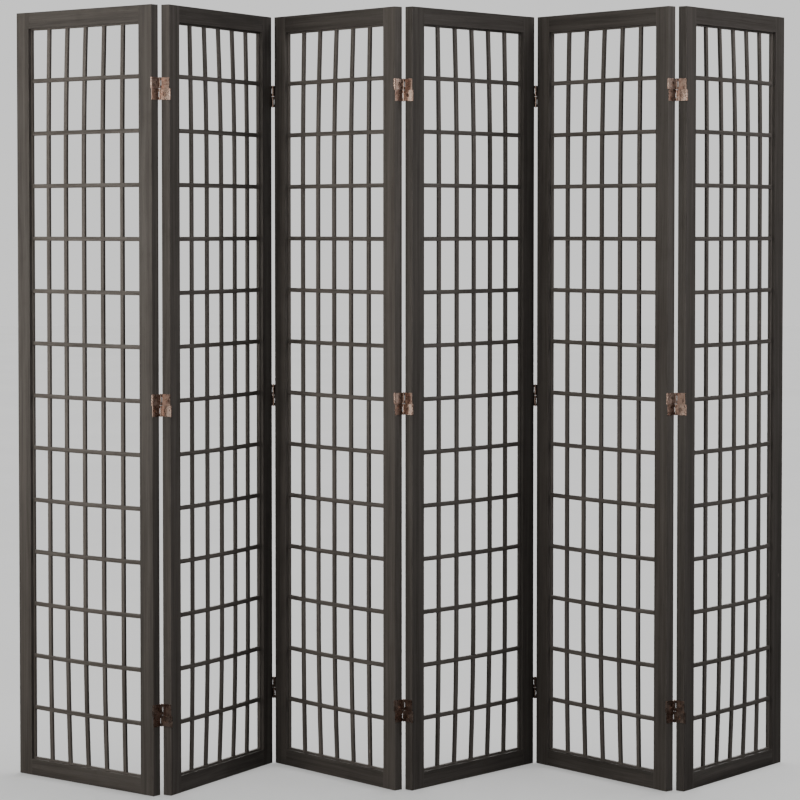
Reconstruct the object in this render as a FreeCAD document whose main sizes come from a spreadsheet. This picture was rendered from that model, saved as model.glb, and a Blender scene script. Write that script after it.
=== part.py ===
import FreeCAD, Part
import math
import os
import Sketcher
from FreeCAD import Placement, Rotation, Vector as V

# Six-panel folding screen, millimetres, +Z up, fronts towards -Y.
# Each panel is drawn once in its own frame: x from its left edge to its right edge, y from its
# front face (0) to its back face, z up from the floor. The six panels are placed in a zigzag.

doc = FreeCAD.newDocument("folding_screen")
sheet = doc.addObject("Spreadsheet::Sheet", "Sheet")

TABLE = [
    # frame
    ("panelHeight", 1784.0), ("panelWidth", 432.0), ("frameThick", 22.2),
    ("stileWidth", 40.0), ("railHeight", 38.0),
    ("edgeRound", 1.2), ("endBevel", 0.8),
    ("tenonLength", 25.0), ("tenonThick", 8.0), ("tenonRise", 24.0), ("tenonSet", 5.0),
    ("mortiseSlack", 0.5),
    ("rebateReach", 6.0), ("lipThick", 8.0),
    # lattice
    ("barWidth", 10.0), ("barDepth", 6.5), ("borderShow", 4.0), ("housing", 3.0),
    ("columns", 6.0), ("rows", 14.0),
    ("bowMid", 8.0), ("bowNext", 7.10), ("bowEnd", 4.36),
    ("bowInner", 7.07), ("bowOuter", 4.28), ("bowRun", 360.0),
    # hinge
    ("hingeLow", 182.0), ("hingeMid", 884.0), ("hingeHigh", 1596.0),
    ("axisOut", 2.4), ("axisProud", 2.4),
    ("leafThick", 1.0), ("leafInset", 0.3), ("leafHalf", 25.3), ("halfGap", 0.3),
    ("barrelRadius", 2.4), ("barrelLow", 7.0), ("barrelHigh", 18.6),
    ("leafBore", 1.40), ("linkBore", 1.45), ("pinRadius", 1.37), ("pinHead", 2.0),
    ("linkThick", 1.0), ("linkEase", 0.3), ("accessBore", 4.5),
    ("screwRise", 12.8), ("screwHead", 3.2), ("screwShank", 1.5), ("screwLength", 16.0),
    ("screwPoint", 2.2), ("screwEase", 0.05), ("recessWide", 0.9), ("recessLong", 3.6),
    ("recessDeep", 0.7),
    # angle between each panel and the X axis as the screen stands, degrees
    ("turnOne", 38.2), ("turnTwo", 60.8), ("turnThree", 48.3),
    ("turnFour", 47.5), ("turnFive", 49.7), ("turnSix", 51.6),
]
for row, (alias, value) in enumerate(TABLE, start=1):
    sheet.set("A%d" % row, alias)
    sheet.set("B%d" % row, repr(value))
    sheet.setAlias("B%d" % row, alias)
doc.recompute()


class Dim:
    """A length that carries its value and the sheet expression that gives it."""

    def __init__(self, value, text):
        self.value = float(value)
        self.text = text

    @staticmethod
    def of(x):
        return x if isinstance(x, Dim) else Dim(x, "(%r)" % float(x))

    def __add__(self, o):
        o = Dim.of(o)
        return Dim(self.value + o.value, "(%s + %s)" % (self.text, o.text))

    def __sub__(self, o):
        o = Dim.of(o)
        return Dim(self.value - o.value, "(%s - %s)" % (self.text, o.text))

    def __mul__(self, o):
        o = Dim.of(o)
        return Dim(self.value * o.value, "(%s * %s)" % (self.text, o.text))

    def __truediv__(self, o):
        o = Dim.of(o)
        return Dim(self.value / o.value, "(%s / %s)" % (self.text, o.text))

    __radd__ = __add__
    __rmul__ = __mul__

    def __rsub__(self, o):
        return Dim.of(o) - self

    def __neg__(self):
        return Dim(-self.value, "(0 - %s)" % self.text)


def cell(alias):
    return Dim(float(sheet.get(alias)), "Sheet." + alias)


ZERO = Dim(0.0, "0")
H, W, T = cell("panelHeight"), cell("panelWidth"), cell("frameThick")
S, RAIL = cell("stileWidth"), cell("railHeight")
TENON, TTHICK = cell("tenonLength"), cell("tenonThick")
TRISE, TSET = cell("tenonRise"), cell("tenonSet")
REACH, LIP = cell("rebateReach"), cell("lipThick")
BAR, DEEP, SHOW, HOUSE = cell("barWidth"), cell("barDepth"), cell("borderShow"), cell("housing")
COLS, ROWS = cell("columns"), cell("rows")
E, P = cell("axisOut"), cell("axisProud")
LEAF, INSET, HALF, GAP = cell("leafThick"), cell("leafInset"), cell("leafHalf"), cell("halfGap")
BARREL, BLOW, BHIGH = cell("barrelRadius"), cell("barrelLow"), cell("barrelHigh")
RISE, SHANK, HEAD = cell("screwRise"), cell("screwShank"), cell("screwHead")
EASE = cell("screwEase")

# clear opening inside the border strips, and the lattice's two pitches
OPEN_X0, OPEN_X1 = S + SHOW, W - S - SHOW
OPEN_Z0, OPEN_Z1 = RAIL + SHOW, H - RAIL - SHOW
PITCH_X = (OPEN_X1 - OPEN_X0 + BAR) / COLS
PITCH_Z = (OPEN_Z1 - OPEN_Z0 + BAR) / ROWS
N_UP, N_CROSS = int(COLS.value) - 1, int(ROWS.value) - 1
UPRIGHT = [OPEN_X0 - BAR / 2 + PITCH_X * k for k in range(1, N_UP + 1)]
CROSS = [OPEN_Z0 - BAR / 2 + PITCH_Z * k for k in range(1, N_CROSS + 1)]


# ------------------------------------------------------------------ sketch helpers
def new_body(name):
    b = doc.addObject("PartDesign::Body", name)
    b.Label = name
    return b


def datum(body, role):
    return [o for o in body.Origin.OriginFeatures if o.Role == role][0]


def new_sketch(body, role, out=None, along_x=None, along_y=None):
    """Sketch on one of the body's origin planes, moved out along the plane's own normal."""
    sk = body.newObject("Sketcher::SketchObject", body.Name + "_sketch")
    sk.AttachmentSupport = [(datum(body, role), "")]
    sk.MapMode = "FlatFace"
    base = [along_x or ZERO, along_y or ZERO, out or ZERO]
    sk.AttachmentOffset = Placement(V(*[d.value for d in base]), Rotation())
    for axis, d in zip("xyz", base):
        if d is not ZERO:
            sk.setExpression("AttachmentOffset.Base." + axis, d.text)
    return sk


def fix(sk, geo, pos, x=None, y=None):
    """Hold a point of the sketch at x, y, each bound to the sheet."""
    for kind, d, axis in (("DistanceX", x, -2), ("DistanceY", y, -1)):
        if d is None:
            continue
        if abs(d.value) < 1e-9:
            sk.addConstraint(Sketcher.Constraint("PointOnObject", geo, pos, axis))
            continue
        i = sk.addConstraint(Sketcher.Constraint(kind, -1, 1, geo, pos, d.value))
        name = "c%d" % i
        sk.renameConstraint(i, name)
        sk.setExpression("Constraints." + name, d.text)


def sized(sk, kind, geo, d):
    i = sk.addConstraint(Sketcher.Constraint(kind, geo, d.value))
    name = "c%d" % i
    sk.renameConstraint(i, name)
    sk.setExpression("Constraints." + name, d.text)


def box(sk, x0, y0, x1, y1):
    x0, y0, x1, y1 = [Dim.of(v) for v in (x0, y0, x1, y1)]
    a, b, c, d = (V(x0.value, y0.value, 0), V(x1.value, y0.value, 0),
                  V(x1.value, y1.value, 0), V(x0.value, y1.value, 0))
    g = sk.addGeometry([Part.LineSegment(a, b), Part.LineSegment(b, c),
                        Part.LineSegment(c, d), Part.LineSegment(d, a)], False)
    for i in range(4):
        sk.addConstraint(Sketcher.Constraint("Coincident", g[i], 2, g[(i + 1) % 4], 1))
    for i, kind in enumerate(("Horizontal", "Vertical", "Horizontal", "Vertical")):
        sk.addConstraint(Sketcher.Constraint(kind, g[i]))
    fix(sk, g[0], 1, x0, y0)
    fix(sk, g[2], 1, x1, y1)


def chain(sk, corners):
    """Closed outline. Each corner is (x, y), or (x, y, centre, radius) where the side that
    leaves it is an arc about that centre, turning the way the arc's last item says."""
    n = len(corners)
    pts = [V(Dim.of(c[0]).value, Dim.of(c[1]).value, 0) for c in corners]
    ids = []
    for i, c in enumerate(corners):
        a, b = pts[i], pts[(i + 1) % n]
        if len(c) == 2:
            ids.append(sk.addGeometry(Part.LineSegment(a, b), False))
            continue
        cx, cy, r, left = c[2][0], c[2][1], c[3], c[4]
        o = V(cx.value, cy.value, 0)
        aa, ab = math.atan2(a.y - o.y, a.x - o.x), math.atan2(b.y - o.y, b.x - o.x)
        start, end = (aa, ab) if left else (ab, aa)
        while end < start:
            end += 2 * math.pi
        ids.append(sk.addGeometry(
            Part.ArcOfCircle(Part.Circle(o, V(0, 0, 1), r.value), start, end), False))
    def first(i):
        return 1 if len(corners[i]) == 2 or corners[i][4] else 2
    def last(i):
        return 2 if len(corners[i]) == 2 or corners[i][4] else 1
    for i in range(n):
        j = (i + 1) % n
        sk.addConstraint(Sketcher.Constraint("Coincident", ids[i], last(i), ids[j], first(j)))
    for i, c in enumerate(corners):
        fix(sk, ids[i], first(i), Dim.of(c[0]), Dim.of(c[1]))
        if len(c) > 2:
            sized(sk, "Radius", ids[i], c[3])
    return ids


def disc(sk, x, y, r):
    x, y, r = Dim.of(x), Dim.of(y), Dim.of(r)
    g = sk.addGeometry(Part.Circle(V(x.value, y.value, 0), V(0, 0, 1), r.value), False)
    fix(sk, g, 3, x, y)
    sized(sk, "Radius", g, r)


def volume(body):
    doc.recompute()
    return body.Shape.Volume if not body.Shape.isNull() else 0.0


def pad(body, sk, length, flip=False):
    f = body.newObject("PartDesign::Pad", body.Name + "_pad")
    f.Profile = sk
    f.Length = length.value
    f.setExpression("Length", length.text)
    f.Reversed = flip
    before = volume(body)
    if "Invalid" in f.State or f.Shape.isNull():
        raise RuntimeError("pad failed in " + body.Label)
    return f


def pocket(body, sk, length, flip=False, through=False):
    before = volume(body)
    f = body.newObject("PartDesign::Pocket", body.Name + "_pocket")
    f.Profile = sk
    if through:
        f.Type = "ThroughAll"
        f.Midplane = True
    else:
        f.Length = length.value
        f.setExpression("Length", length.text)
        f.Reversed = flip
    if not volume(body) < before - 1e-3:
        raise RuntimeError("pocket cut nothing in " + body.Label)
    return f


def turn(body, sk, axis, cut=False):
    before = volume(body)
    f = body.newObject("PartDesign::Groove" if cut else "PartDesign::Revolution",
                       body.Name + ("_groove" if cut else "_turned"))
    f.Profile = sk
    f.ReferenceAxis = (sk, [axis])
    f.Angle = 360
    after = volume(body)
    if cut and not after < before - 1e-3:
        raise RuntimeError("groove cut nothing in " + body.Label)
    return f


def repeat(body, role, spacings):
    """The whole body so far, repeated along one of its axes at the given spacings."""
    doc.recompute()
    f = body.newObject("PartDesign::LinearPattern", body.Name + "_row")
    f.TransformMode = "Whole shape"
    f.Direction = (datum(body, role), [""])
    f.Mode = "Spacing"
    f.Occurrences = len(spacings) + 1
    f.Spacings = [s.value for s in spacings]
    body.Tip = f
    doc.recompute()
    return f


def edges_where(feature, test):
    names = []
    for i, e in enumerate(feature.Shape.Edges, start=1):
        b = e.BoundBox
        if test(e, b):
            names.append("Edge%d" % i)
    return names


def dress(body, kind, base, names, alias):
    f = body.newObject("PartDesign::" + kind, body.Name + "_" + kind.lower())
    f.Base = (base, names)
    prop = "Radius" if kind == "Fillet" else "Size"
    setattr(f, prop, cell(alias).value)
    f.setExpression(prop, "Sheet." + alias)
    before = base.Shape.Volume
    doc.recompute()
    if not f.Shape.Volume < before:
        raise RuntimeError("no %s on %s" % (kind, body.Label))
    return f


def near(a, b, tol=1e-3):
    return abs(a - b) < tol


# ------------------------------------------------------------------ frame members
HINGES = [cell("hingeLow"), cell("hingeMid"), cell("hingeHigh")]


def make_stile(name, right, hinged):
    """Upright of the frame: outer long edges rounded, mortised for both rails, rebated at the
    back of its inner edge for the lattice, and bored for the hinge screws."""
    body = new_body(name)
    outer = W if right else ZERO
    inner = W - S if right else S
    x0, x1 = (inner, outer) if right else (outer, inner)
    sk = new_sketch(body, "XY_Plane")
    box(sk, x0, ZERO, x1, T)
    f = pad(body, sk, H)
    f = dress(body, "Fillet", f, edges_where(f, lambda e, b: near(b.ZLength, H.value)
              and near(b.XMin, outer.value) and near(b.XMax, outer.value)), "edgeRound")
    f = dress(body, "Chamfer", f, edges_where(f, lambda e, b: b.ZLength < 1e-3
              and not (near(b.XMin, inner.value) and near(b.XMax, inner.value))), "endBevel")
    # rebate for the lattice, stopped at the rails' own rebates
    sk = new_sketch(body, "XZ_Plane", out=-T)
    r0 = inner if right else inner - REACH
    box(sk, r0, RAIL - REACH, r0 + REACH, H - RAIL + REACH)
    pocket(body, sk, T - LIP, flip=True)
    # mortises for the rails' tenons
    sk = new_sketch(body, "YZ_Plane", out=inner)
    y0 = (T - TTHICK) / 2
    box(sk, y0, TSET, y0 + TTHICK, TSET + TRISE)
    box(sk, y0, H - TSET - TRISE, y0 + TTHICK, H - TSET)
    pocket(body, sk, TENON + cell("mortiseSlack"), flip=right)
    if hinged:
        sk = new_sketch(body, "YZ_Plane", out=outer if right else None)
        for z in HINGES:
            disc(sk, T / 2, z - RISE, SHANK + EASE)
            disc(sk, T / 2, z + RISE, SHANK + EASE)
        pocket(body, sk, cell("screwLength") + cell("mortiseSlack"), flip=not right)
    return body


def make_rail(name):
    """Bottom rail: rebated along its inner back edge, tenoned at both ends."""
    body = new_body(name)
    sk = new_sketch(body, "YZ_Plane", out=S)
    chain(sk, [(ZERO, ZERO), (T, ZERO), (T, RAIL - REACH), (LIP, RAIL - REACH),
               (LIP, RAIL), (ZERO, RAIL)])
    pad(body, sk, W - S - S)
    sk = new_sketch(body, "YZ_Plane", out=S - TENON)
    y0 = (T - TTHICK) / 2
    box(sk, y0, TSET, y0 + TTHICK, TSET + TRISE)
    f = pad(body, sk, W - S - S + TENON + TENON)
    dress(body, "Chamfer", f, edges_where(f, lambda e, b: near(b.ZMax, 0) and near(b.ZMin, 0)
          and b.YLength < 1e-3), "endBevel")
    return body


# ------------------------------------------------------------------ lattice
def lap_depth(bow, x):
    """Where an upright and a cross bar meet: half a bar behind the bowed front."""
    half = (OPEN_X1 - OPEN_X0) / 2 + 1.0
    off = (x - W / 2) / half
    return LIP - bow * (1 - off * off) + DEEP / 2


def bow_of(i):
    if i in (0, N_CROSS - 1):
        return cell("bowEnd")
    if i in (1, N_CROSS - 2):
        return cell("bowNext")
    return cell("bowMid")


def make_cross_bar(name, index, spacings):
    """Thin bar sprung forward in a flat arc, housed in the side strips and notched from
    behind over each upright."""
    body = new_body(name)
    bow = bow_of(index)
    half = (OPEN_X1 - OPEN_X0) / 2 + 1.0
    rad = (half * half + bow * bow) / (bow * 2)
    ax0, ax1 = OPEN_X0 - 1.0, OPEN_X1 + 1.0
    ex0, ex1 = OPEN_X0 - HOUSE, OPEN_X1 + HOUSE
    mid = W / 2
    fc, bc = (mid, LIP - bow + rad), (mid, LIP + DEEP - bow + rad)
    sk = new_sketch(body, "XY_Plane", out=CROSS[index] - BAR / 2)
    chain(sk, [(ex0, LIP), (ax0, LIP, fc, rad, True), (ax1, LIP), (ex1, LIP),
               (ex1, LIP + DEEP), (ax1, LIP + DEEP, bc, rad, False), (ax0, LIP + DEEP),
               (ex0, LIP + DEEP)])
    pad(body, sk, BAR)
    sk = new_sketch(body, "XY_Plane", out=CROSS[index] - BAR / 2)
    for x in UPRIGHT:
        box(sk, x - BAR / 2, lap_depth(bow, x), x + BAR / 2, LIP + DEEP + 2.0)
    pocket(body, sk, BAR, flip=True)
    if spacings:
        repeat(body, "Z_Axis", spacings)
    return body


def make_upright(name, k, alias, spacings):
    """Thin bar sprung forward: curved ends and a straight middle, housed in the end strips and
    notched from the front for each cross bar."""
    body = new_body(name)
    bow, run = cell(alias), cell("bowRun")
    rad = (run * run + bow * bow) / (bow * 2)
    z0, z1 = OPEN_Z0, OPEN_Z1
    za, zb = OPEN_Z0 + run, OPEN_Z1 - run
    e0, e1 = OPEN_Z0 - HOUSE, OPEN_Z1 + HOUSE
    f0, b0 = LIP, LIP + DEEP
    f1, b1 = LIP - bow, LIP + DEEP - bow
    sk = new_sketch(body, "YZ_Plane", out=UPRIGHT[k] - BAR / 2)
    chain(sk, [(f0, e0), (b0, e0), (b0, z0, (b1 + rad, za), rad, False), (b1, za),
               (b1, zb, (b1 + rad, zb), rad, False), (b0, z1), (b0, e1), (f0, e1),
               (f0, z1, (f1 + rad, zb), rad, True), (f1, zb),
               (f1, za, (f1 + rad, za), rad, True), (f0, z0)])
    pad(body, sk, BAR)
    sk = new_sketch(body, "YZ_Plane", out=UPRIGHT[k] - BAR / 2)
    for j, z in enumerate(CROSS):
        box(sk, LIP - cell("bowMid") - 2.0, z - BAR / 2, lap_depth(bow_of(j), UPRIGHT[k]),
            z + BAR / 2)
    pocket(body, sk, BAR, flip=True)
    if spacings:
        repeat(body, "X_Axis", spacings)
    return body


def make_side_strips(name):
    """The two upright border strips in the stiles' rebates, with a housing per cross bar."""
    body = new_body(name)
    sk = new_sketch(body, "XZ_Plane", out=-(LIP + DEEP))
    lo, hi = RAIL - REACH, H - RAIL + REACH
    left = [(S - REACH, lo), (OPEN_X0, lo)]
    right = [(W - S + REACH, lo), (OPEN_X1, lo)]
    for z in CROSS:
        a, b = z - BAR / 2, z + BAR / 2
        left += [(OPEN_X0, a), (OPEN_X0 - HOUSE, a), (OPEN_X0 - HOUSE, b), (OPEN_X0, b)]
        right += [(OPEN_X1, a), (OPEN_X1 + HOUSE, a), (OPEN_X1 + HOUSE, b), (OPEN_X1, b)]
    left += [(OPEN_X0, hi), (S - REACH, hi)]
    right += [(OPEN_X1, hi), (W - S + REACH, hi)]
    chain(sk, left)
    chain(sk, right)
    pad(body, sk, DEEP)
    return body


def make_end_strips(name):
    """The bottom and top border strips in the rails' rebates, with a housing per upright."""
    body = new_body(name)
    sk = new_sketch(body, "XZ_Plane", out=-(LIP + DEEP))
    low = [(OPEN_X0, RAIL - REACH), (OPEN_X0, OPEN_Z0)]
    top = [(OPEN_X0, H - RAIL + REACH), (OPEN_X0, OPEN_Z1)]
    for x in UPRIGHT:
        a, b = x - BAR / 2, x + BAR / 2
        low += [(a, OPEN_Z0), (a, OPEN_Z0 - HOUSE), (b, OPEN_Z0 - HOUSE), (b, OPEN_Z0)]
        top += [(a, OPEN_Z1), (a, OPEN_Z1 + HOUSE), (b, OPEN_Z1 + HOUSE), (b, OPEN_Z1)]
    low += [(OPEN_X1, OPEN_Z0), (OPEN_X1, RAIL - REACH)]
    top += [(OPEN_X1, OPEN_Z1), (OPEN_X1, H - RAIL + REACH)]
    chain(sk, low)
    chain(sk, top)
    pad(body, sk, DEEP)
    return body


# ------------------------------------------------------------------ hinge pieces
# Hinge frame: x away from the panel's edge, y through the thickness, z from the hinge's middle.
def make_leaf(name):
    """Edge leaf, 51 mm tall: front barrels in the upper half, back barrels in the lower."""
    body = new_body(name)
    sk = new_sketch(body, "YZ_Plane")
    box(sk, INSET, -HALF, T - INSET, HALF)
    pad(body, sk, LEAF)
    dx = E - LEAF
    dip = math.sqrt(BARREL.value ** 2 - dx.value ** 2)
    for front in (True, False):
        ay = -P if front else T + P
        root = INSET + 0.7 if front else T - INSET - 0.7
        near_y = Dim(ay.value + (dip if front else -dip), "(%s %s sqrt(%s * %s - %s * %s))" % (
            ay.text, "+" if front else "-", BARREL.text, BARREL.text, dx.text, dx.text))
        sk = new_sketch(body, "XY_Plane", out=GAP if front else -HALF)
        chain(sk, [(ZERO, root), (LEAF, root), (LEAF, near_y, (E, ay), BARREL, not front),
                   (ZERO, ay)])
        pad(body, sk, HALF - GAP)
    # clearance for the link's own barrel
    sk = new_sketch(body, "YZ_Plane", out=-1 * Dim.of(1.0))
    box(sk, -P - BARREL - 1.0, BLOW, INSET, BHIGH)
    box(sk, T - INSET, -BHIGH, T + P + BARREL + 1.0, -BLOW)
    pocket(body, sk, E * 2 + 2.0, flip=True)
    sk = new_sketch(body, "XY_Plane", out=-HALF)
    disc(sk, E, -P, cell("leafBore"))
    disc(sk, E, T + P, cell("leafBore"))
    pocket(body, sk, HALF * 2, flip=True)
    # countersunk screw holes
    for z in (RISE, -RISE):
        sk = new_sketch(body, "XZ_Plane", out=-(T / 2), along_y=z)
        big, small = HEAD + EASE, SHANK + EASE
        chain(sk, [(ZERO, ZERO), (LEAF, ZERO), (LEAF, big), (ZERO, small)])
        turn(body, sk, "H_Axis", cut=True)
    return body


def make_link(name):
    """Crossing link of the upper half: one barrel at the front axis, one at the back axis,
    and a hole through which the leaf's screw is driven."""
    body = new_body(name)
    th, ease = cell("linkThick"), cell("linkEase")
    sk = new_sketch(body, "YZ_Plane", out=E - th / 2)
    y0, y1 = INSET, T - INSET
    z0, z1 = GAP + ease, HALF - ease
    a, b = BLOW + ease, BHIGH - ease
    chain(sk, [(y0, z0), (y1, z0), (y1, a), (T + P, a), (T + P, b), (y1, b), (y1, z1),
               (y0, z1), (y0, b), (-P, b), (-P, a), (y0, a)])
    pad(body, sk, th)
    sk = new_sketch(body, "XY_Plane", out=a)
    disc(sk, E, -P, BARREL)
    disc(sk, E, T + P, BARREL)
    pad(body, sk, b - a)
    sk = new_sketch(body, "XY_Plane", out=a)
    disc(sk, E, -P, cell("linkBore"))
    disc(sk, E, T + P, cell("linkBore"))
    pocket(body, sk, b - a, flip=True)
    sk = new_sketch(body, "YZ_Plane", out=E - th / 2)
    disc(sk, T / 2, RISE, cell("accessBore"))
    pocket(body, sk, th, flip=True)
    return body


def make_pin(name):
    """Hinge pin of the upper half, standing on its axis, with a domed head at the top."""
    body = new_body(name)
    sk = new_sketch(body, "XZ_Plane")
    r, hd = cell("pinRadius"), cell("pinHead")
    drop = math.sqrt(BARREL.value ** 2 - hd.value ** 2)
    centre = Dim(HALF.value - drop, "(%s - sqrt(%s * %s - %s * %s))" % (
        HALF.text, BARREL.text, BARREL.text, hd.text, hd.text))
    chain(sk, [(ZERO, GAP), (r, GAP), (r, HALF), (hd, HALF, (ZERO, centre), BARREL, True),
               (ZERO, centre + BARREL)])
    turn(body, sk, "V_Axis")
    return body


def make_screw(name):
    """Countersunk cross-head wood screw, its head's face at x = leaf thickness."""
    body = new_body(name)
    sk = new_sketch(body, "XZ_Plane", out=-(T / 2), along_y=RISE)
    tip = -cell("screwLength")
    chain(sk, [(tip, ZERO), (LEAF, ZERO), (LEAF, HEAD), (ZERO, SHANK),
               (tip + cell("screwPoint"), SHANK)])
    turn(body, sk, "H_Axis")
    sk = new_sketch(body, "YZ_Plane", out=LEAF, along_x=T / 2, along_y=RISE)
    w, l = cell("recessWide") / 2, cell("recessLong") / 2
    chain(sk, [(-l, -w), (-w, -w), (-w, -l), (w, -l), (w, -w), (l, -w), (l, w), (w, w),
               (w, l), (-w, l), (-w, w), (-l, w)])
    pocket(body, sk, cell("recessDeep"))
    return body


# ------------------------------------------------------------------ one of each piece
stile_left = make_stile("master_stile_left", False, True)
stile_left_end = make_stile("master_stile_left_end", False, False)
stile_right = make_stile("master_stile_right", True, True)
stile_right_end = make_stile("master_stile_right_end", True, False)
rail = make_rail("master_rail")
side_strips = make_side_strips("master_side_strips")
end_strips = make_end_strips("master_end_strips")
up_outer = make_upright("master_upright_outer", 0, "bowOuter", [PITCH_X * (N_UP - 1)])
up_inner = make_upright("master_upright_inner", 1, "bowInner", [PITCH_X * (N_UP - 3)])
up_centre = make_upright("master_upright_centre", 2, "bowMid", [])
cross_end = make_cross_bar("master_cross_end", 0, [PITCH_Z * (N_CROSS - 1)])
cross_next = make_cross_bar("master_cross_next", 1, [PITCH_Z * (N_CROSS - 3)])
cross_mid = make_cross_bar("master_cross_mid", 2, [PITCH_Z] * (N_CROSS - 5))
leaf = make_leaf("master_leaf")
link = make_link("master_link")
pin = make_pin("master_pin")
screw = make_screw("master_screw")


def placed(master, name, placement):
    """A copy of a master body that stays linked to it."""
    b = doc.addObject("PartDesign::Body", name)
    f = doc.addObject("PartDesign::FeatureBase", name + "_base")
    f.BaseFeature = master
    b.Group = [f]
    b.Tip = f
    b.Label = name
    b.Placement = placement
    return b


HALF_TURN_Y = Rotation(V(0, 1, 0), 180)
HALF_TURN_X = Rotation(V(1, 0, 0), 180)
w, t, e, p = W.value, T.value, E.value, P.value


def on_edge(master, stem, right, z, flipped=False, at=None):
    """A hinge piece on a panel's right or left edge at height z. On the left edge the leaf's
    pieces are turned end for end, so the two leaves of a fold interlock."""
    inner = Placement(at or V(0, 0, 0), Rotation())
    if flipped:
        # the piece of the other half: front to back and top to bottom
        inner = Placement(V(0, t, 0), HALF_TURN_X) * inner
    side = Placement(V(w, 0, z), Rotation()) if right else Placement(V(0, 0, z), HALF_TURN_Y)
    return placed(master, stem, side * inner)


leaves, pins, screws, upper_links, lower_links = {}, {}, {}, {}, {}
for right in (True, False):
    tag = "right" if right else "left"
    leaves[right], pins[right], screws[right] = [], [], []
    upper_links[right], lower_links[right] = [], []
    for i, z in enumerate(HINGES):
        z = z.value
        base = "%s_%d" % (tag, i + 1)
        leaves[right].append(on_edge(leaf, "leaf_" + base, right, z))
        pins[right].append(on_edge(pin, "pin_a_" + base, right, z, at=V(e, -p, 0)))
        pins[right].append(on_edge(pin, "pin_b_" + base, right, z, flipped=True,
                                   at=V(e, -p, 0)))
        screws[right].append(on_edge(screw, "screw_a_" + base, right, z))
        screws[right].append(on_edge(screw, "screw_b_" + base, right, z, flipped=True))
        # turning end for end also swaps halves, so a left-edge upper link is a flipped one
        upper_links[right].append(on_edge(link, "link_up_" + base, right, z, flipped=not right))
        lower_links[right].append(on_edge(link, "link_low_" + base, right, z, flipped=right))

# ------------------------------------------------------------------ the zigzag
turns = [float(sheet.get(a)) for a in ("turnOne", "turnTwo", "turnThree", "turnFour",
                                       "turnFive", "turnSix")]


def direction(n):
    a = math.radians(turns[n - 1]) * (-1 if n % 2 else 1)
    d = V(math.cos(a), math.sin(a), 0)
    return d, V(-d.y, d.x, 0), math.degrees(a)


corner, axes = {1: V(0, 0, 0)}, {}
for n in range(1, 6):
    d, b, _ = direction(n)
    d2, b2, _ = direction(n + 1)
    depth = t + p if n % 2 else -p
    axes[n] = corner[n] + d * (w + e) + b * depth
    corner[n + 1] = axes[n] + d2 * e - b2 * depth


def panel_placement(n, shift):
    return Placement(corner[n] + shift, Rotation(V(0, 0, 1), direction(n)[2]))


def group(name, members):
    c = doc.addObject("Part::Compound", name)
    c.Label = name
    c.Links = members
    return c


END_FOR_END = Placement(V(w, 0, H.value), HALF_TURN_Y)
nodes = []
for n in range(1, 7):
    name = "panel%d_" % n
    own = []
    own.append((placed(stile_left if n > 1 else stile_left_end, name + "left_stile",
                       Placement()), Placement()))
    own.append((placed(stile_right if n < 6 else stile_right_end, name + "right_stile",
                       Placement()), Placement()))
    own.append((placed(rail, name + "bottom_rail", Placement()), Placement()))
    own.append((placed(rail, name + "top_rail", Placement()), END_FOR_END))
    own.append((group(name + "lattice_uprights", [side_strips, up_outer, up_inner, up_centre]),
                Placement()))
    own.append((group(name + "lattice_crossbars", [end_strips, cross_end, cross_next,
                                                   cross_mid]), Placement()))
    sides = [right for right in (False, True) if (n > 1 or right) and (n < 6 or not right)]
    links = upper_links if n % 2 else lower_links
    for stem, source in (("hinge_leaves", leaves), ("hinge_links", links),
                         ("hinge_pins", pins), ("hinge_screws", screws)):
        own.append((group(name + stem, [x for right in sides for x in source[right]]),
                    Placement()))
    for obj, local in own:
        nodes.append((n, obj, local))

for n, obj, local in nodes:
    obj.Placement = panel_placement(n, V(0, 0, 0)) * local
doc.recompute()

# origin at the middle of the footprint, on the floor
whole = Part.makeCompound([obj.Shape for _, obj, _ in nodes]).optimalBoundingBox(False, False)
shift = V(-(whole.XMin + whole.XMax) / 2, -(whole.YMin + whole.YMax) / 2, 0)
for n, obj, local in nodes:
    obj.Placement = panel_placement(n, shift) * local
doc.recompute()

# ------------------------------------------------------------------ checks and files
bad = [o.Name for o in doc.Objects if "Invalid" in o.State or "Error" in o.State]
if bad:
    raise RuntimeError("failed objects: " + ", ".join(bad))
SOLIDS = {"left_stile": 1, "right_stile": 1, "bottom_rail": 1, "top_rail": 1,
          "lattice_uprights": N_UP + 2, "lattice_crossbars": N_CROSS + 2}
for n, obj, _ in nodes:
    s = obj.Shape
    if s.isNull() or not s.isValid():
        raise RuntimeError("bad shape: " + obj.Label)
    kind = obj.Label.split("_", 1)[1]
    sides = 1 if n in (1, 6) else 2
    want = SOLIDS.get(kind, {"hinge_leaves": 3, "hinge_links": 3, "hinge_pins": 6,
                             "hinge_screws": 6}.get(kind, 0) * sides)
    if len(s.Solids) != want:
        raise RuntimeError("%s has %d solids, not %d" % (obj.Label, len(s.Solids), want))

os.makedirs("parts", exist_ok=True)
for _, obj, _ in nodes:
    obj.Shape.exportStep("parts/%s.step" % obj.Label)

box_all = Part.makeCompound([obj.Shape for _, obj, _ in nodes]).optimalBoundingBox(False, False)
print("nodes %d, size %.2f x %.2f x %.2f mm" % (len(nodes), box_all.XLength, box_all.YLength,
                                                box_all.ZLength))
for n in range(1, 6):
    a = axes[n] + shift
    print("fold %d axis x %.4f y %.4f" % (n, a.x, a.y))
for n in range(1, 7):
    c = corner[n] + shift
    print("panel %d corner x %.4f y %.4f turned %.3f" % (n, c.x, c.y, direction(n)[2]))
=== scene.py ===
import math

import bpy
from mathutils import Matrix, Vector

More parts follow.
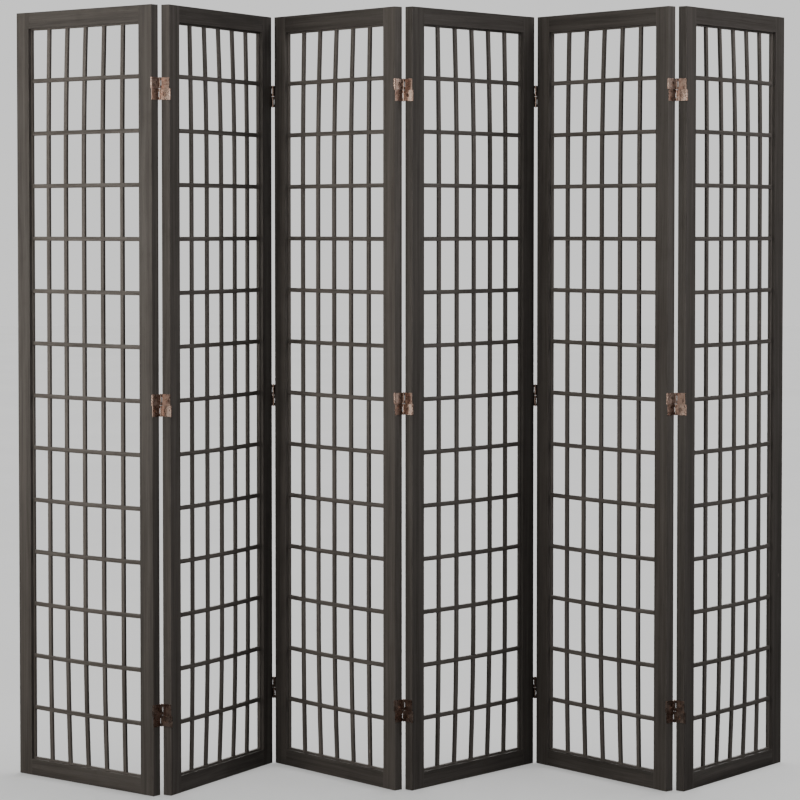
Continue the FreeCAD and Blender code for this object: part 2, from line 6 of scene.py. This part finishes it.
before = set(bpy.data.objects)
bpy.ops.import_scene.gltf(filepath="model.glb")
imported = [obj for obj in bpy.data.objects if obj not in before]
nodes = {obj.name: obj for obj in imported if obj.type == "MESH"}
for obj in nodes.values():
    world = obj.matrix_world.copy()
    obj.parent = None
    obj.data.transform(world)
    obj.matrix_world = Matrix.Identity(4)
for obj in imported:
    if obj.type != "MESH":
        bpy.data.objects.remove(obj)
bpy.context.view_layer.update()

# Where each panel stands: its front lower left corner (metres) and its turn about Z (degrees).
PANELS = {
    1: (-0.9056029, 0.0668729, -38.2),
    2: (-0.5263691, -0.1923380, 60.8),
    3: (-0.3089593, 0.1854932, -48.3),
    4: (0.0181425, -0.1373319, 47.5),
    5: (0.3167710, 0.1810419, -49.7),
    6: (0.6372678, -0.1477496, 51.6),
}


# ------------------------------------------------------------------ node helpers
class Tree:
    """A short way to write a material's nodes."""

    def __init__(self, name):
        self.mat = bpy.data.materials.new(name)
        self.mat.use_nodes = True
        self.t = self.mat.node_tree
        self.t.nodes.clear()
        self.out = self.t.nodes.new("ShaderNodeOutputMaterial")

    def node(self, kind, **props):
        n = self.t.nodes.new(kind)
        for k, v in props.items():
            setattr(n, k, v)
        return n

    def put(self, socket, value):
        if isinstance(value, bpy.types.NodeSocket):
            self.t.links.new(value, socket)
        else:
            socket.default_value = value

    def math(self, op, a, b=None, c=None, clamp=False):
        n = self.node("ShaderNodeMath", operation=op, use_clamp=clamp)
        self.put(n.inputs[0], a)
        if b is not None:
            self.put(n.inputs[1], b)
        if c is not None:
            self.put(n.inputs[2], c)
        return n.outputs[0]

    def ramp(self, fac, lo, hi, a=0.0, b=1.0, smooth=True):
        n = self.node("ShaderNodeMapRange",
                      interpolation_type="SMOOTHSTEP" if smooth else "LINEAR")
        n.clamp = True
        self.put(n.inputs["Value"], fac)
        self.put(n.inputs["From Min"], lo)
        self.put(n.inputs["From Max"], hi)
        self.put(n.inputs["To Min"], a)
        self.put(n.inputs["To Max"], b)
        return n.outputs["Result"]

    def mix(self, fac, a, b, blend="MIX"):
        n = self.node("ShaderNodeMix", data_type="RGBA", blend_type=blend)
        n.clamp_factor = True
        self.put(n.inputs[0], fac)
        self.put(n.inputs[6], a)
        self.put(n.inputs[7], b)
        return n.outputs[2]

    def mapping(self, vec, loc=(0, 0, 0), rot=(0, 0, 0), scale=(1, 1, 1)):
        n = self.node("ShaderNodeMapping")
        self.put(n.inputs["Vector"], vec)
        n.inputs["Location"].default_value = loc
        n.inputs["Rotation"].default_value = rot
        n.inputs["Scale"].default_value = scale
        return n.outputs[0]

    def noise(self, vec, scale, detail=3.0, rough=0.55, distortion=0.0):
        n = self.node("ShaderNodeTexNoise")
        self.put(n.inputs["Vector"], vec)
        n.inputs["Scale"].default_value = scale
        n.inputs["Detail"].default_value = detail
        n.inputs["Roughness"].default_value = rough
        n.inputs["Distortion"].default_value = distortion
        return n.outputs["Fac"]

    def voronoi(self, vec, scale, feature="F1"):
        n = self.node("ShaderNodeTexVoronoi", feature=feature)
        self.put(n.inputs["Vector"], vec)
        n.inputs["Scale"].default_value = scale
        return n.outputs["Distance"]

    def panel_coords(self, panel):
        """Coordinates in a panel's own frame: x across it, y through it, z up, in metres."""
        cx, cy, turn = PANELS[panel]
        a = math.radians(-turn)
        c, s = math.cos(a), math.sin(a)
        tc = self.node("ShaderNodeTexCoord")
        loc = (-(c * cx - s * cy), -(s * cx + c * cy), 0.0)
        return self.mapping(tc.outputs["Object"], loc=loc, rot=(0, 0, a))

    def bump(self, height, strength, distance, normal=None):
        n = self.node("ShaderNodeBump")
        n.inputs["Strength"].default_value = strength
        n.inputs["Distance"].default_value = distance
        self.put(n.inputs["Height"], height)
        if normal is not None:
            self.put(n.inputs["Normal"], normal)
        return n.outputs["Normal"]

    def edge_mask(self, radius, lo, hi):
        """1 near a sharp edge of the piece, 0 away from it."""
        bev = self.node("ShaderNodeBevel", samples=6)
        bev.inputs["Radius"].default_value = radius
        geo = self.node("ShaderNodeNewGeometry")
        dot = self.node("ShaderNodeVectorMath", operation="DOT_PRODUCT")
        self.put(dot.inputs[0], bev.outputs[0])
        self.put(dot.inputs[1], geo.outputs["Normal"])
        return self.ramp(self.math("SUBTRACT", 1.0, dot.outputs["Value"]), lo, hi)

    def surface(self, **values):
        b = self.node("ShaderNodeBsdfPrincipled")
        for k, v in values.items():
            self.put(b.inputs[k.replace("_", " ")], v)
        self.t.links.new(b.outputs[0], self.out.inputs["Surface"])
        return b


# ------------------------------------------------------------------ wood
DARK = (0.0500, 0.0430, 0.0385, 1)
MIDDLE = (0.0800, 0.0705, 0.0640, 1)
LIGHT = (0.1080, 0.0960, 0.0875, 1)
WORN = (0.190, 0.165, 0.148, 1)
PORE = (0.0230, 0.0190, 0.0170, 1)


def wood(name, panel, along, seed, thin=False, tone=1.0):
    """Dark matt stain on straight-grained softwood, the grain running along the piece."""
    t = Tree(name)
    local = t.panel_coords(panel)
    squeeze = {"z": (1.0, 1.0, 0.022), "x": (0.022, 1.0, 1.0)}[along]
    longer = {"z": (1.0, 1.0, 0.10), "x": (0.10, 1.0, 1.0)}[along]
    off = (seed * 3.17 % 11, seed * 5.91 % 13, seed * 7.43 % 17)
    grain = t.mapping(local, loc=off, scale=squeeze)
    fibre = t.mapping(local, loc=off, scale=longer)

    # early and late wood: broad soft streaks, slightly wandering, then finer ones
    sway = t.noise(t.mapping(local, loc=off, scale=(1, 1, 1)), 2.2, 2.0, 0.5)
    wander = t.node("ShaderNodeVectorMath", operation="MULTIPLY_ADD")
    comb = t.node("ShaderNodeCombineXYZ")
    t.put(comb.inputs[0], sway)
    t.put(comb.inputs[1], sway)
    t.put(comb.inputs[2], sway)
    t.put(wander.inputs[0], comb.outputs[0])
    wander.inputs[1].default_value = (0.016, 0.010, 0.0) if along == "z" else (0.0, 0.010, 0.016)
    t.put(wander.inputs[2], grain)
    broad = t.noise(wander.outputs[0], 120.0 if thin else 88.0, 3.0, 0.55)
    fine = t.noise(wander.outputs[0], 430.0, 4.0, 0.65)
    hair = t.noise(fibre, 1500.0, 2.0, 0.6)
    blotch = t.noise(local, 3.1, 3.0, 0.5)
    cloud = t.noise(t.mapping(local, loc=off), 14.0, 4.0, 0.6)

    tone_a = t.ramp(broad, 0.32, 0.70)
    tone_b = t.ramp(fine, 0.30, 0.72)
    grainy = t.math("ADD", t.math("MULTIPLY", tone_a, 0.58), t.math("MULTIPLY", tone_b, 0.42))
    colour = t.mix(t.ramp(grainy, 0.0, 0.55), DARK, MIDDLE)
    colour = t.mix(t.ramp(grainy, 0.45, 1.0), colour, LIGHT)
    # the stain has taken unevenly
    colour = t.mix(t.ramp(blotch, 0.40, 0.75, 0.0, 0.34), colour, LIGHT)
    colour = t.mix(t.ramp(cloud, 0.52, 0.80, 0.0, 0.30), colour, DARK)
    # open pores, short dark dashes along the grain
    dash = t.ramp(t.noise(fibre, 820.0, 2.0, 0.5), 0.655, 0.73)
    colour = t.mix(t.math("MULTIPLY", dash, 0.55), colour, PORE)
    colour = t.mix(t.ramp(hair, 0.35, 0.75, 0.0, 0.18), colour, LIGHT)
    # end grain drinks more stain
    tc = t.node("ShaderNodeTexCoord")
    sep = t.node("ShaderNodeSeparateXYZ")
    t.put(sep.inputs[0], tc.outputs["Normal"])
    if along == "z":
        end = t.ramp(t.math("ABSOLUTE", sep.outputs[2]), 0.75, 0.95)
        rings = t.noise(t.mapping(local, loc=off, scale=(1, 0.35, 1)), 420.0, 3.0, 0.6)
        colour = t.mix(t.math("MULTIPLY", end, 0.75), colour,
                       t.mix(t.ramp(rings, 0.35, 0.65), PORE, DARK))
    # handling has thinned the stain along the arrises, here and there down to paler wood
    edge = t.edge_mask(0.0016 if thin else 0.0024, 0.04, 0.30)
    broken = t.ramp(t.noise(t.mapping(local, loc=off), 46.0, 5.0, 0.68), 0.47, 0.66)
    colour = t.mix(t.math("MULTIPLY", edge, t.math("MULTIPLY_ADD", broken, 0.50, 0.14)),
                   colour, WORN)
    # small knocks, a few to a piece
    knock = t.ramp(t.voronoi(t.mapping(local, loc=off, scale=(1.0, 1.0, 0.55)), 9.0),
                   0.012, 0.030, 1.0, 0.0)
    colour = t.mix(t.math("MULTIPLY", knock, 0.55), colour, WORN)
    if tone != 1.0:
        colour = t.mix(1.0, colour, (tone, tone, tone, 1), "MULTIPLY")

    rough = t.math("ADD", t.ramp(grainy, 0.0, 1.0, 0.60, 0.50),
                   t.math("ADD", t.ramp(cloud, 0.35, 0.75, 0.0, 0.09),
                          t.math("MULTIPLY", edge, -0.06)), clamp=True)
    height = t.math("ADD", t.math("MULTIPLY", fine, 0.55),
                    t.math("ADD", t.math("MULTIPLY", hair, 0.30),
                           t.math("MULTIPLY", t.math("ADD", dash, knock), -0.75)))
    normal = t.bump(height, 0.55, 0.00022 if thin else 0.00030)
    t.surface(Base_Color=colour, Roughness=rough, Normal=normal, Metallic=0.0)
    b = [n for n in t.t.nodes if n.type == "BSDF_PRINCIPLED"][0]
    b.inputs["IOR"].default_value = 1.45
    b.inputs["Specular IOR Level"].default_value = 0.38
    return t.mat


# ------------------------------------------------------------------ copper-coloured hinge metal
def metal(name, base, deep, pale, rough, brushed=(1.0, 1.0, 0.06), grime=0.18):
    """Copper plate over steel: drawn lines, a few dark spots, and painted shade in its corners and
    recesses.
    """
    t = Tree(name)
    tc = t.node("ShaderNodeTexCoord")
    at = tc.outputs["Object"]
    drawn = t.noise(t.mapping(at, scale=brushed), 2600.0, 3.0, 0.6)
    patch = t.noise(at, 75.0, 4.0, 0.6)
    spots = t.noise(at, 420.0, 3.0, 0.6)
    colour = t.mix(t.ramp(patch, 0.38, 0.66, 0.0, 0.6), base, pale)
    colour = t.mix(t.ramp(drawn, 0.30, 0.75, 0.0, 0.22), colour, deep)
    colour = t.mix(t.ramp(spots, 0.60, 0.78, 0.0, grime), colour, deep)
    edge = t.edge_mask(0.0005, 0.04, 0.35)
    colour = t.mix(t.math("MULTIPLY", edge, 0.55), colour, pale)
    # painted shade: corners, screw slots and the ring round each screw head are darkened where
    # ambient occlusion finds them shut in, and made rougher there
    ao = t.node("ShaderNodeAmbientOcclusion", samples=12, only_local=False)
    ao.inputs["Distance"].default_value = 0.0027
    painted_shade_mask = t.ramp(ao.outputs["AO"], 0.32, 0.82, 1.0, 0.0)
    colour = t.mix(t.math("MULTIPLY", painted_shade_mask, 0.92), colour, PAINTED_RECESS_SHADE)
    r = t.math("ADD", t.ramp(patch, 0.30, 0.72, rough - 0.04, rough + 0.07),
               t.math("ADD", t.ramp(drawn, 0.2, 0.8, -0.03, 0.05),
                      t.math("MULTIPLY", painted_shade_mask, 0.25)), clamp=True)
    height = t.math("ADD", t.math("MULTIPLY", drawn, 0.6), t.math("MULTIPLY", spots, 0.4))
    normal = t.bump(height, 0.22, 0.00005)
    t.surface(Base_Color=colour, Roughness=r, Normal=normal, Metallic=1.0)
    return t.mat


# colour of the painted shade in the hinge's corners and recesses
PAINTED_RECESS_SHADE = (0.020, 0.013, 0.010, 1)
leaf_mat = metal("hinge_plate_copper", (0.42, 0.288, 0.236, 1), (0.20, 0.122, 0.092, 1),
                 (0.53, 0.395, 0.335, 1), 0.26)
link_mat = metal("hinge_link_copper", (0.49, 0.350, 0.290, 1), (0.24, 0.150, 0.112, 1),
                 (0.64, 0.495, 0.425, 1), 0.25)
pin_mat = metal("hinge_pin_copper", (0.48, 0.325, 0.260, 1), (0.22, 0.135, 0.100, 1),
                (0.64, 0.48, 0.40, 1), 0.25, brushed=(0.06, 0.06, 1.0))
screw_mat = metal("screw_copper", (0.44, 0.300, 0.240, 1), (0.16, 0.100, 0.075, 1),
                  (0.62, 0.46, 0.38, 1), 0.30, brushed=(1.0, 1.0, 1.0), grime=0.45)


# ------------------------------------------------------------------ finish the CAD nodes
def dress(obj, mat):
    obj.data.materials.clear()
    obj.data.materials.append(mat)


def soften(obj, width, segments=2, weld=0.00001, angle=35.0):
    """Takes the knife edge off a piece: its mesh is joined up, then its arrises are eased."""
    w = obj.modifiers.new("join", "WELD")
    w.merge_threshold = weld
    b = obj.modifiers.new("arris", "BEVEL")
    b.width = width
    b.segments = segments
    b.limit_method = "ANGLE"
    b.angle_limit = math.radians(angle)
    b.use_clamp_overlap = True
    b.harden_normals = False


MEMBERS = {
    "left_stile": ("z", False, 1.06), "right_stile": ("z", False, 1.06),
    "top_rail": ("x", False, 1.00), "bottom_rail": ("x", False, 1.00),
    "lattice_uprights": ("z", True, 1.62), "lattice_crossbars": ("x", True, 1.52),
}
# above 1 is paler. Chosen so that single members come out as light as they look in the photograph;
# part of that is the stain's own tone and part is painted light and shade. Chosen so that single
# members come out as light as they look in the photograph; how much of that is stain and how much
# is its light is not known
TONE_AND_PAINTED_LIGHT = {(1, "left_stile"): 0.97, (2, "left_stile"): 1.26, (2, "bottom_rail"): 1.10,
         (3, "left_stile"): 1.18, (3, "right_stile"): 1.16, (5, "left_stile"): 1.22,
         (5, "right_stile"): 1.10, (6, "left_stile"): 0.96, (6, "right_stile"): 0.92}
for n in range(1, 7):
    for k, (kind, (along, thin, tone)) in enumerate(MEMBERS.items()):
        obj = nodes["panel%d_%s" % (n, kind)]
        # a small random tone per member, times the factors above, which paint light and shade into
        # single members
        wobble_and_painted_light = (1.0 + 0.05 * math.sin(n * 2.3 + k * 1.7)) * TONE_AND_PAINTED_LIGHT.get((n, kind), 1.0)
        dress(obj, wood("wood_p%d_%s" % (n, kind), n, along, n * 10 + k + 1, thin,
                        tone * wobble_and_painted_light))
        soften(obj, 0.0006 if thin else 0.0007)
    dress(nodes["panel%d_hinge_leaves" % n], leaf_mat)
    dress(nodes["panel%d_hinge_links" % n], link_mat)
    dress(nodes["panel%d_hinge_pins" % n], pin_mat)
    dress(nodes["panel%d_hinge_screws" % n], screw_mat)

# ------------------------------------------------------------------ floor and backdrop
PAPER = (0.655, 0.655, 0.650, 1)


def floor_material():
    """Pale seamless paper. Part of its light is its own, so it stays even to the horizon."""
    t = Tree("pale_floor")
    tc = t.node("ShaderNodeTexCoord")
    soft = t.noise(tc.outputs["Object"], 0.9, 4.0, 0.55)
    grain = t.noise(tc.outputs["Object"], 140.0, 3.0, 0.6)
    colour = t.mix(t.ramp(soft, 0.3, 0.7), (0.60, 0.598, 0.592, 1), (0.63, 0.628, 0.622, 1))
    normal = t.bump(grain, 0.10, 0.0003)
    b = t.surface(Base_Color=colour, Roughness=0.85, Normal=normal)
    b.inputs["Specular IOR Level"].default_value = 0.1
    b.inputs["Emission Color"].default_value = PAPER
    b.inputs["Emission Strength"].default_value = FLOOR_OWN
    return t.mat


def backdrop_material():
    t = Tree("pale_backdrop")
    e = t.node("ShaderNodeEmission")
    e.inputs["Color"].default_value = PAPER
    e.inputs["Strength"].default_value = BACK_OWN
    t.t.links.new(e.outputs[0], t.out.inputs["Surface"])
    return t.mat


FLOOR_OWN, BACK_OWN = 0.42, 1.42
bpy.ops.mesh.primitive_plane_add(size=60.0, location=(0, 0, 0))
floor = bpy.context.object
floor.name = "floor"
floor.data.materials.append(floor_material())
bpy.ops.mesh.primitive_uv_sphere_add(segments=64, ring_count=32, radius=29.0, location=(0, 0, 0))
backdrop = bpy.context.object
backdrop.name = "backdrop"
backdrop.data.materials.append(backdrop_material())
# the paper is only looked at: it throws no light of its own on the object
for paper in (floor, backdrop):
    paper.visible_diffuse = False
    paper.visible_glossy = False
backdrop.visible_shadow = False

# ------------------------------------------------------------------ light
world = bpy.data.worlds.new("studio")
bpy.context.scene.world = world
world.use_nodes = True
bg = world.node_tree.nodes["Background"]
bg.inputs[0].default_value = (0.93, 0.99, 1.0, 1)
bg.inputs[1].default_value = 0.055


# the lamps for the screen leave the paper alone, which has its own even wash
not_paper = bpy.data.collections.new("not_paper")
not_paper.objects.link(floor)
not_paper.objects.link(backdrop)
for member in not_paper.collection_objects:
    member.light_linking.link_state = "EXCLUDE"


def area(name, azimuth, elevation, power, colour=(1, 1, 1), size=(1.0, 1.4), away=4.2):
    """A soft box, azimuth in degrees round from the front (left is negative)."""
    data = bpy.data.lights.new(name, "AREA")
    data.shape = "RECTANGLE"
    data.size, data.size_y = size
    data.energy = power
    data.color = colour
    o = bpy.data.objects.new(name, data)
    bpy.context.scene.collection.objects.link(o)
    a, e = math.radians(azimuth), math.radians(elevation)
    aim = Vector((0.0, 0.0, 0.9))
    back = Vector((math.sin(a) * math.cos(e), -math.cos(a) * math.cos(e), math.sin(e)))
    o.location = aim + back * away
    o.rotation_euler = (-back).to_track_quat("-Z", "Y").to_euler()
    o.visible_camera = False
    o.light_linking.receiver_collection = not_paper
    return o


WARM, MILD, COOL = (1.0, 0.965, 0.90), (1.0, 0.975, 0.93), (1.0, 0.985, 0.975)
area("left_side", -80, 8, 15.0, WARM, away=2.6)
area("key", -46, 8, 38.5, WARM)
area("front_left", -26, 8, 11.5, MILD, away=2.8)
area("high_left", -45, 40, 9.5, MILD, away=3.0)
area("high_front", 0, 38, 10.4, MILD)
area("high_right", 60, 38, 31.0, COOL, away=3.4)
area("right", 60, 8, 6.0, COOL, away=2.8)
area("right_side", 72, 8, 6.5, COOL, away=3.4)
area("back_left", 197, 14, 55.0, MILD, size=(1.8, 1.8))
area("back_right", 163, 14, 55.0, COOL, size=(1.8, 1.8))

# a broad overhead wash for the paper alone, so the screen has its soft shadow at its feet
paper_only = bpy.data.collections.new("paper_only")
paper_only.objects.link(floor)
wash_data = bpy.data.lights.new("wash", "SUN")
wash_data.energy = 3.3
wash_data.angle = math.radians(70.0)
wash = bpy.data.objects.new("wash", wash_data)
bpy.context.scene.collection.objects.link(wash)
wash.rotation_euler = (math.radians(-14.0), math.radians(10.0), 0.0)
wash.light_linking.receiver_collection = paper_only

# ------------------------------------------------------------------ camera
cam_data = bpy.data.cameras.new("camera")
cam = bpy.data.objects.new("camera", cam_data)
bpy.context.scene.collection.objects.link(cam)
bpy.context.scene.camera = cam
cam_data.sensor_width = 36.0
cam_data.sensor_fit = "HORIZONTAL"
FOCAL_PX, TILT = 2686.2, math.radians(1.995)
cam_data.lens = FOCAL_PX / 800.0 * 36.0
# the horizon is above the middle of the frame: part by a slight tilt, the rest by shift
cam_data.shift_y = -0.10
cam.location = (PANELS[1][0] + 0.89577, PANELS[1][1] - 6.29242, 1.2869)
cam.rotation_mode = "XYZ"
cam.rotation_euler = (math.pi / 2 - TILT, 0, 0)
cam_data.clip_start, cam_data.clip_end = 0.05, 100.0
